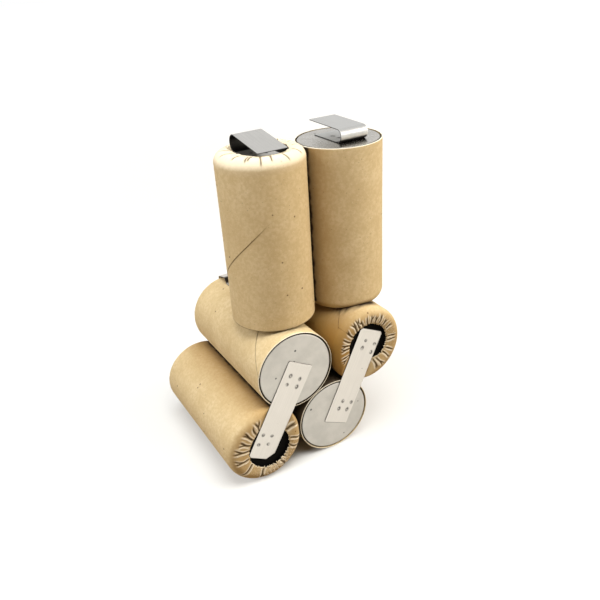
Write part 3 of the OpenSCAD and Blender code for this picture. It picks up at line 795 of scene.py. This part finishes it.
    def add_inside(self, crown):
        """Cut edge of the opening, then the inside, dark with painted shade, back down to the negative face.
        """
        r, z, dark, _ = crown[-1]
        lowest = WASHER_TOP + WASHER_CLEAR
        low = np.maximum(z - EDGE_T, lowest)
        self.add(self.around, r - EDGE_BULGE, z - (z - low) * EDGE_CORNER, EDGE_DARK * dark, EDGE_LIGHT)
        self.add(self.around, r - EDGE_FOOT, low, FLAT_DARK)
        for r, z, _, _ in reversed(crown[ARC_RINGS:-1:INSIDE_STEP]):
            self.add(self.around, r, np.maximum(z - FLAT_T, lowest), FLAT_DARK)
        for r, z, _, _ in reversed(crown[1:ARC_RINGS:INSIDE_STEP]):
            inner = np.minimum(r, SLEEVE_R - PAPER_T) - SHOULDER_T
            under = np.maximum(z - PAPER_T, np.minimum(z - THINNEST, lowest))
            self.add(self.around, inner, under, SHOULDER_DARK)
        for height in np.linspace(TUBE_TOP, FOOT_Z, TUBE_RINGS):
            angle, radius, _ = self.tube(height)
            self.add(angle, np.minimum(radius - TUBE_T, SLEEVE_R - PAPER_T + CAN_CLEAR), height)
        angle, radius, _ = self.tube(0.0)
        self.add(angle, radius - FOOT_T, 0.0, 0.0, 1.0)


def make_sleeve(i):
    sleeve = Sleeve(i)
    crown = sleeve.crown()
    sleeve.add_outside()
    for ring in crown:
        sleeve.add(sleeve.around, *ring)
    sleeve.add_inside(crown)
    points = moved(np.concatenate(sleeve.rings), cell_matrix(i))
    faces = ring_faces(sleeve.rings)
    # Painted shade beside other cells and in pockets, painted brown shade, and a painted highlight on the
    # crown
    dark, brown, pale = paper_shading(i, sleeve.look, points)
    fold = np.maximum(np.concatenate(sleeve.folds), dark)
    edge = np.maximum(np.concatenate(sleeve.edges), pale * (1 - fold))
    looks = {"fold": fold, "edge": edge, "shade": brown}
    obj = make_object(f"sleeve_paper_{i}", points, faces, PAPER, looks)
    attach(obj, "pack")
    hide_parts(f"cell_{i}_sleeve")


for number in CELLS:
    make_sleeve(number)


# Nickel strips
# A strip is a closed sheet on a grid along a path of rows: (x, z, normal x, normal z).
GRID = 0.2
BEND_GRID = 0.15
STRIP_COLUMNS = 41
EDGE_ROUND = 0.05
LINK_CORNER = (0.3, 0.3)
LINK_SWAY = 0.03
SWAY_NOISE = (300, (1, 2, 3))

# Spot welds: a bowl with a raised rim and a dark, broken ring; RIM_AT and RING_AT are in radii of the bowl
WELD_R = 0.45
WELD_SIZES = (0.75, 1.05)
WELD_DEPTH = 0.09
WELD_BOWL = 0.7
RIM_AT = 1.15
RIM_W = 0.14
RIM_H = 0.03
RING_AT = 0.8
RING_W = 0.2
RING_STRETCH = (0.8, 1.4)
RING_GAP = (0.3, 0.9)
RING_GAP_SPREAD = 65
WELD_SEED = 500

# Bands of painted shade: depth and length over which they fade
BAND_SHADE = 0.95
BAND_FADE = 0.35

# Shifts of the texture, to the next strip and to the lower side
NEXT_STRIP = 40
LOWER_SIDE = (0, 20, 0)


def line_rows(start, end):
    """Rows along a line; the normal is to the left of the way."""
    start, end = np.array(start, float), np.array(end, float)
    length = np.linalg.norm(end - start)
    way = (end - start) / length
    n = max(1, int(length / GRID))
    return [(*(start + (end - start) * k / n), -way[1], way[0]) for k in range(n + 1)]


def arc_rows(centre, radius, out, turn, steps):
    """Rows round a bend, without its ends; out is the direction from the centre to its start."""
    t = math.atan2(out[1], out[0]) + turn * np.arange(1, steps) / steps
    d = np.stack([np.cos(t), np.sin(t)], axis=1)
    return np.hstack([centre + radius * d, -math.copysign(1, turn) * d]).tolist()


def bent_path(corners, radius):
    """Rows along a line of corners in a plane, each corner rounded."""
    corners = [np.array(corner, float) for corner in corners]
    rows = []
    here = corners[0]
    for a, b, c in zip(corners, corners[1:], corners[2:]):
        u, w = (b - a) / np.linalg.norm(b - a), (c - b) / np.linalg.norm(c - b)
        turn = math.atan2(u[0] * w[1] - u[1] * w[0], float(u @ w))
        cut = radius * math.tan(abs(turn) / 2)
        rows += line_rows(here, b - u * cut)
        out = math.copysign(1, turn) * np.array([u[1], -u[0]])
        steps = max(4, int(abs(turn) * radius / BEND_GRID))
        rows += arc_rows(b - u * cut - radius * out, radius, out, turn, steps)
        here = b + w * cut
    return rows + line_rows(here, corners[-1])


def half_width(run, low_clip, high_clip):
    """Half width along one side of a strip, with a corner cut off at its start and at its end."""
    cut = np.maximum(low_clip - run, high_clip - (run[-1] - run))
    return (STRIP_W / 2 - np.maximum(0.0, cut))[:, None]


def weld_marks(welds, run, wide, seed):
    """Depth of the dimples and darkness of the broken rings at each point of a strip."""
    rng = random.Random(WELD_SEED + seed)
    sink = np.zeros_like(wide)
    mark = np.zeros_like(wide)
    for at, off in welds:
        stretch = rng.uniform(*RING_STRETCH)
        gap_at = rng.uniform(0, 360)
        gap = rng.uniform(*RING_GAP)
        radius = WELD_R * rng.uniform(*WELD_SIZES)
        dx = (run[:, None] - at) / stretch
        dy = wide - off
        d = np.hypot(dx, dy)
        bowl = np.clip(1 - d / radius, 0, 1) ** WELD_BOWL
        rim = np.exp(-((d - radius * RIM_AT) / RIM_W) ** 2)
        sink += WELD_DEPTH * bowl - RIM_H * rim
        from_gap = angle_apart(np.degrees(np.arctan2(dy, dx)), gap_at)
        whole = 1 - gap * np.exp(-(from_gap / RING_GAP_SPREAD) ** 2)
        mark = np.maximum(mark, whole * np.exp(-((d - radius * RING_AT) / RING_W) ** 2))
    return sink, mark


def sheet_faces(rows, columns):
    """Faces of a closed sheet on a grid, with the points of its upper side before those of its lower side."""
    upper = np.arange(rows * columns).reshape(rows, columns)
    lower = upper + rows * columns
    faces = band_faces(np.hstack([upper, lower[:, ::-1]]))
    for a, b in ((upper[0], lower[0]), (lower[-1], upper[-1])):
        faces += np.stack([a[:-1], a[1:], b[1:], b[:-1]], axis=1).tolist()
    return faces


def shade_band(run, wide, span):
    """Painted shade on one side of a strip, over a span along it, or nowhere."""
    if span is None:
        return np.zeros(wide.size)
    rise, fall = ((end - BAND_FADE, end + BAND_FADE) for end in span)
    return BAND_SHADE * np.repeat(between(run, rise, fall), wide.shape[1])


def make_strip(name, rows, matrix, material, welds, seed, low_clip=(0.0, 0.0), high_clip=(0.0, 0.0), sway=0.0,
               shade_inside=None, shade_outside=None):
    """Strip in the XZ plane of matrix, centred on Y. welds are (along, across) on its left side.
    low_clip and high_clip cut off the corners (+Y side, -Y side) at its start and end.
    The inside and outside bands are (from, to) along it, where its left or right side has painted shade."""
    rows = np.array(rows)
    run = np.append(0.0, np.cumsum(np.linalg.norm(np.diff(rows[:, :2], axis=0), axis=1)))
    left, right = (half_width(run, *clips) for clips in zip(low_clip, high_clip))
    inner = 1 - EDGE_ROUND / (STRIP_W / 2)
    columns = np.concatenate([[-1.0], np.linspace(-inner, inner, STRIP_COLUMNS), [1.0]])[None, :]
    wide = columns * np.where(columns >= 0, left, right)
    lift = wave_noise(run * 360 / run[-1], seed, *SWAY_NOISE, sway)[:, None]
    sink, mark = weld_marks(welds, run, wide, seed)
    shave = EDGE_ROUND * (np.abs(columns) > inner) * np.ones_like(wide)
    shave[[0, -1], :] = EDGE_ROUND
    x, z, normal_x, normal_z = rows.T[:, :, None]
    sides = []
    for height in (STRIP_T / 2 + lift - sink - shave, -STRIP_T / 2 + lift + shave):
        side = np.stack([x + normal_x * height, wide, z + normal_z * height], axis=2)
        sides.append(side.reshape(-1, 3))
    along = np.stack([run[:, None] + NEXT_STRIP * seed + 0 * wide, wide, 0 * wide], axis=2).reshape(-1, 3)
    # Painted shade on the rounded edges and ends of the strip
    painted_shading = (shave > 0).astype(float).ravel()
    upper_dark = np.maximum(mark.ravel(), shade_band(run, wide, shade_inside))
    attributes = {
        "along": np.concatenate([along, along + LOWER_SIDE]),
        "welds_and_shade": np.concatenate([upper_dark, shade_band(run, wide, shade_outside)]),
        "edge": np.concatenate([painted_shading, painted_shading]),
    }
    points = moved(np.concatenate(sides), matrix)
    obj = make_object(name, points, sheet_faces(*wide.shape), material, attributes)
    return obj


# Welds: (along, across) from the middle of the cap
LEFT_WELDS = [(20.96, 1.63), (18.36, 1.61), (20.54, -1.67), (18.23, -1.72),
              (2.8, 2.33), (2.8, -0.58), (-0.3, 2.5), (0.2, -0.54)]
RIGHT_WELDS = [(-1.18, -0.76), (1.2, -0.99), (-0.55, 2.82), (1.99, 2.67),
               (17.9, -0.38), (18.1, 2.79), (20.4, -0.79), (20.5, 2.3)]
REAR_WELDS = [(-1.2, 1.4), (1.3, 1.6), (-1.0, -1.5), (1.4, -1.3),
              (20.3, 1.5), (22.6, 1.3), (20.2, -1.6), (22.7, -1.5)]


def make_straight_link(cells, cell, welds, cap_clip, seed):
    """Flat link on the cap of a cell and on the negative face beside it."""
    rows = line_rows((-CAP_REACH, 0), (PITCH + FACE_REACH, 0))
    marks = [(x + CAP_REACH, y) for x, y in welds]
    lifted = strip_matrix(cell) @ Matrix.Translation((0, 0, STRIP_T / 2))
    obj = make_strip(f"link_strip_{cells}", rows, lifted, LINK_NICKEL, marks, seed, low_clip=cap_clip,
                     high_clip=LINK_CORNER, sway=LINK_SWAY)
    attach(obj, "pack")
    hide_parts(f"link_{cells}")


make_straight_link("2_3", 3, LEFT_WELDS, (0.8, 2.2), 1)
make_straight_link("3_4", 4, REAR_WELDS, (1.4, 1.4), 2)
make_straight_link("4_5", 5, RIGHT_WELDS, (0.6, 0.6), 3)

# Bent links: welds from the middle of their group, which is LOW_WELD or FACE_WELD above the lower end
BENT_WELDS = ((-1.1, 1.5), (1.2, 1.4), (-1.2, -1.4), (1.1, -1.6))
LOW_WELD = 2.0
FACE_WELD = FACE_REACH + 0.6
OPENING_CLEAR = 0.2


def square_reach(shift):
    """Reach of a strip past the middle of the opening, where it is shifted sideways."""
    limit = OPENING_R - OPENING_CLEAR
    return min(CAP_REACH, math.sqrt(max(0.0, limit ** 2 - (STRIP_W / 2 + abs(shift)) ** 2)))


def make_bent_link(cells, x, front, end, low_weld, seed):
    """Link from under a standing cell, arched over the rear edge of the cell below, down its rear end."""
    z = ROWS_TOP + STRIP_T / 2
    y = REAR_Y + STRIP_T / 2
    arch_top = (y - ARCH_L + ARCH_FRONT_L, z + ARCH_H)
    rows = bent_path([(front, z), (y - ARCH_L, z), arch_top, (y, z + EDGE_LIFT), (y, end)], LINK_BEND_R)
    length = sum(math.dist(a[:2], b[:2]) for a, b in zip(rows, rows[1:]))
    welds = [(length - low_weld + along, across) for along, across in BENT_WELDS]
    turned = Matrix.Translation((x, 0, 0)) @ Matrix.Rotation(math.radians(90), 4, "Z")
    # Painted shade on the steep front of the arch
    steep_from = y - ARCH_L - front
    steep_to = steep_from + math.hypot(ARCH_FRONT_L, ARCH_H)
    obj = make_strip(f"link_strip_{cells}", rows, turned, LINK_NICKEL, welds, seed, high_clip=LINK_CORNER,
                     shade_inside=(steep_from, steep_to))
    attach(obj, "pack")
    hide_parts(f"link_{cells}")


make_bent_link("1_2", CELLS[1][0][0] + LEFT_BENT_SHIFT, UPRIGHT_Y - FACE_REACH,
               UPPER_Z - square_reach(CELLS[2][3]), LOW_WELD, 4)
make_bent_link("5_6", CELLS[6][0][0], UPRIGHT_Y - square_reach(0.0), UPPER_Z - FACE_REACH, FACE_WELD, 5)

# Tabs: welds from the middle of the cell; painted shade in and under the bend, which starts before the bend
TAB_BEND_ROWS = 36
TAB_WELDS = ((-1.2, 1.5), (1.3, 1.4), (-1.1, -1.5), (1.4, -1.4))
TAB_CORNER = (0.35, 0.35)
INNER_SHADE_LEAD = 0.6
OUTER_SHADE_LEAD = 1.0
OUTER_SHARE = 0.33


def tab_path(tail, bend_at, r, leaf_l, slope):
    """Rows of a tab: foot from -tail to the bend, round the bend, then the leaf back over the foot."""
    turn = math.radians(180 + slope)
    way = np.array([math.cos(turn), math.sin(turn)])
    mid = r - STRIP_T / 2
    leaf = np.array([bend_at, r]) + mid * np.array([way[1], -way[0]])
    foot = line_rows((-tail, STRIP_T / 2), (bend_at, STRIP_T / 2))
    bend = arc_rows(np.array([bend_at, r]), mid, (0, -1), turn, TAB_BEND_ROWS)
    return foot + bend + line_rows(leaf, leaf + leaf_l * way)


def make_tab(end, matrix, tail, size, material, seed):
    """Output tab as one strip: a foot, a bend and a leaf back over the foot."""
    bend_at, r, slope = size["bend_at"], size["r"], size["slope"]
    rows = tab_path(tail, bend_at, r, size["leaf_l"], slope)
    welds = [(tail + along, across) for along, across in TAB_WELDS]
    bend_from = tail + bend_at
    bend_l = math.radians(180 + slope) * r
    obj = make_strip(f"tab_strip_{end}", rows, matrix, material, welds, seed, high_clip=TAB_CORNER,
                     shade_inside=(bend_from - INNER_SHADE_LEAD, bend_from + bend_l - INNER_SHADE_LEAD),
                     shade_outside=(bend_from - OUTER_SHADE_LEAD, bend_from + OUTER_SHARE * bend_l))
    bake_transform(obj)
    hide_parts(*(f"{end}_tab_{piece}" for piece in ("foot", "bend", "leaf")))


make_tab("positive", strip_matrix(1), square_reach(POSITIVE_TAB_SHIFT), POSITIVE_TAB, DULL_NICKEL, 6)
negative_place = Vector(CELLS[6][0]) + Vector((NEGATIVE_TAB_SHIFT, 0, 0))
negative_matrix = Matrix.Translation(negative_place) @ Matrix.Rotation(math.radians(-90), 4, "Z")
make_tab("negative", negative_matrix, NEGATIVE_TAB["foot_l"], NEGATIVE_TAB, BRIGHT_NICKEL, 7)


# Vent springs
# Each spring is a wire cone from the valve up to the inside of the cap.
SPRING_STEPS = 60
SPRING_SIDES = 8
VALVE_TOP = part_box("cell_1_vent_valve")[1][2] / MM - UPRIGHT_Z


def make_spring(i):
    low = VALVE_TOP + SEAT_GAP + SPRING_WIRE / 2
    high = CELL_H - CAP_T - SEAT_GAP - SPRING_WIRE / 2
    share = np.linspace(0.0, 1.0, SPRING_STEPS + 1)[:, None]
    turn = 2 * math.pi * SPRING_TURNS * share
    round_wire = np.linspace(0.0, 2 * math.pi, SPRING_SIDES, endpoint=False)[None, :]
    radius = (SPRING_D + (SPRING_TOP_D - SPRING_D) * share + SPRING_WIRE * np.cos(round_wire)) / 2
    height = low + (high - low) * share + SPRING_WIRE / 2 * np.sin(round_wire)
    points = np.stack([radius * np.cos(turn), radius * np.sin(turn), height], axis=2).reshape(-1, 3)
    rings = np.arange(len(points)).reshape(-1, SPRING_SIDES)
    faces = band_faces(rings) + [rings[0].tolist(), rings[-1, ::-1].tolist()]
    obj = make_object(f"vent_spring_{i}", moved(points, cell_matrix(i)), faces, SPRING_STEEL)
    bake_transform(obj)
    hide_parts("vent_springs")


for number in CELLS:
    make_spring(number)


# Studio
# The white floor glows faintly, more so far away, and not under the pack, where its glow fades out.
FLOOR_SIDE = 3000.0
FLOOR_COLOUR = (0.5, 0.495, 0.47)
FLOOR_BOUNCE = (0.24, 0.18, 0.115)
FLOOR_GLOW = 0.34
FAR_GLOW = 0.95
FAR_FADE = (130.0, 700.0)
UNDER_FADE = (-3.0, 2.0)
WORLD_LEVEL = 0.27
WORLD_COLOUR = (1.0, 0.78, 0.5)
WHITE = (1.0, 1.0, 1.0)

# Lamps, in metres: place, diameter, power and colour
PACK_MIDDLE = (0.0, 0.0, 0.045)
COOL = (0.96, 1.0, 1.05)
WARM = (1.0, 0.95, 0.86)
TOP_LAMP = ((0.0, -0.11, 0.42), 0.32, 2.1, COOL)
LEFT_LAMP = ((-0.65, 0.22, 0.45), 0.5, 3.9, COOL)
RIGHT_LAMP = ((0.6, -0.32, 0.36), 0.5, 4.4, WARM)


def background_rays(n):
    """1 for the rays that show the background: from the camera, in metal and through glass."""
    rays = n.add("ShaderNodeLightPath", {}).outputs
    seen = n.math("MAXIMUM", rays["Is Camera Ray"], rays["Is Glossy Ray"])
    return n.math("MAXIMUM", seen, rays["Is Transmission Ray"])


def floor_glow(n):
    """Glow of the floor: stronger far away, none under the pack."""
    far = n.fade(n.distance(n.place(), (0, 0, 0), (1, 1, 0)), *FAR_FADE)
    glow = n.math("ADD", FLOOR_GLOW, n.math("MULTIPLY", far, FAR_GLOW - FLOOR_GLOW))
    middle = (LEFT_X + PITCH / 2, 0, 0)
    beside = n.math("SUBTRACT", n.distance(n.place(), middle, (1, 0, 0)), PITCH / 2)
    before = n.math("SUBTRACT", n.distance(n.place(), middle, (0, 1, 0)), CELL_H / 2)
    return n.math("MULTIPLY", glow, n.fade(n.math("MAXIMUM", beside, before), *UNDER_FADE))


def make_floor():
    n = new_material("floor_white")
    n.surface(Base_Color=n.mix(background_rays(n), FLOOR_BOUNCE, FLOOR_COLOUR), Roughness=0.9,
              Specular_IOR_Level=0.1, Emission_Color=WHITE,
              Emission_Strength=n.math("MULTIPLY", background_rays(n), floor_glow(n)))
    corners = FLOOR_SIDE * np.array([(-1, -1, 0), (1, -1, 0), (1, 1, 0), (-1, 1, 0)], float)
    floor = make_object("studio_floor", corners, [(0, 1, 2, 3)], n.owner)


def make_light(name, place, size, power, colour, mirrored=True):
    """Round area light that faces the middle of the pack; mirrored: whether metal shows it."""
    light = bpy.data.lights.new(name, "AREA")
    light.color = colour
    light.shape = "DISK"
    light.size = size
    light.energy = power
    obj = bpy.data.objects.new(name, light)
    bpy.context.scene.collection.objects.link(obj)
    way = Vector(PACK_MIDDLE) - Vector(place)
    obj.matrix_world = Matrix.Translation(place) @ way.to_track_quat("-Z", "Y").to_matrix().to_4x4()
    obj.visible_glossy = mirrored


def make_world():
    """Faint warm light all round, shown as white where it is the background."""
    world = bpy.data.worlds.new("studio_world")
    bpy.context.scene.world = world
    n = Nodes(world)
    n.tree.nodes.clear()
    light = n.add("ShaderNodeBackground", {"Color": WORLD_COLOUR, "Strength": WORLD_LEVEL}).outputs[0]
    backdrop = n.add("ShaderNodeBackground", {"Color": WHITE, "Strength": 1.0}).outputs[0]
    seen = n.add("ShaderNodeMixShader", {0: background_rays(n), 1: light, 2: backdrop}).outputs[0]
    n.add("ShaderNodeOutputWorld", {"Surface": seen})


make_floor()
make_world()
make_light("top", *TOP_LAMP, mirrored=False)
make_light("left", *LEFT_LAMP)
make_light("right", *RIGHT_LAMP)

# Camera, fitted to the outlines of the cells in the photograph: place in millimetres, its directions, and
# the picture's side, focal length and centre in pixels
CAMERA_AT = (-73.7475, -148.8751, 127.0173)
CAMERA_RIGHT = (0.860594, -0.505573, -0.061438)
CAMERA_DOWN = (-0.299700, -0.405194, -0.863712)
CAMERA_FORWARD = (0.411775, 0.761718, -0.500228)
IMAGE_SIDE = 600.0
FOCAL = 653.32
CENTRE = (298.357, 328.018)
SENSOR = 36.0
CLIP_START = 0.005


def make_camera():
    data = bpy.data.cameras.new("photo_camera")
    data.sensor_width = SENSOR
    data.lens = FOCAL / IMAGE_SIDE * SENSOR
    data.shift_x = (IMAGE_SIDE / 2 - CENTRE[0]) / IMAGE_SIDE
    data.shift_y = (CENTRE[1] - IMAGE_SIDE / 2) / IMAGE_SIDE
    data.clip_start = CLIP_START
    camera = bpy.data.objects.new("photo_camera", data)
    bpy.context.scene.collection.objects.link(camera)
    axes = Matrix((CAMERA_RIGHT, -Vector(CAMERA_DOWN), -Vector(CAMERA_FORWARD))).transposed()
    camera.matrix_world = Matrix.Translation(Vector(CAMERA_AT) * MM) @ axes.to_4x4()
    bpy.context.scene.camera = camera


make_camera()
bpy.context.scene.view_settings.view_transform = "Standard"
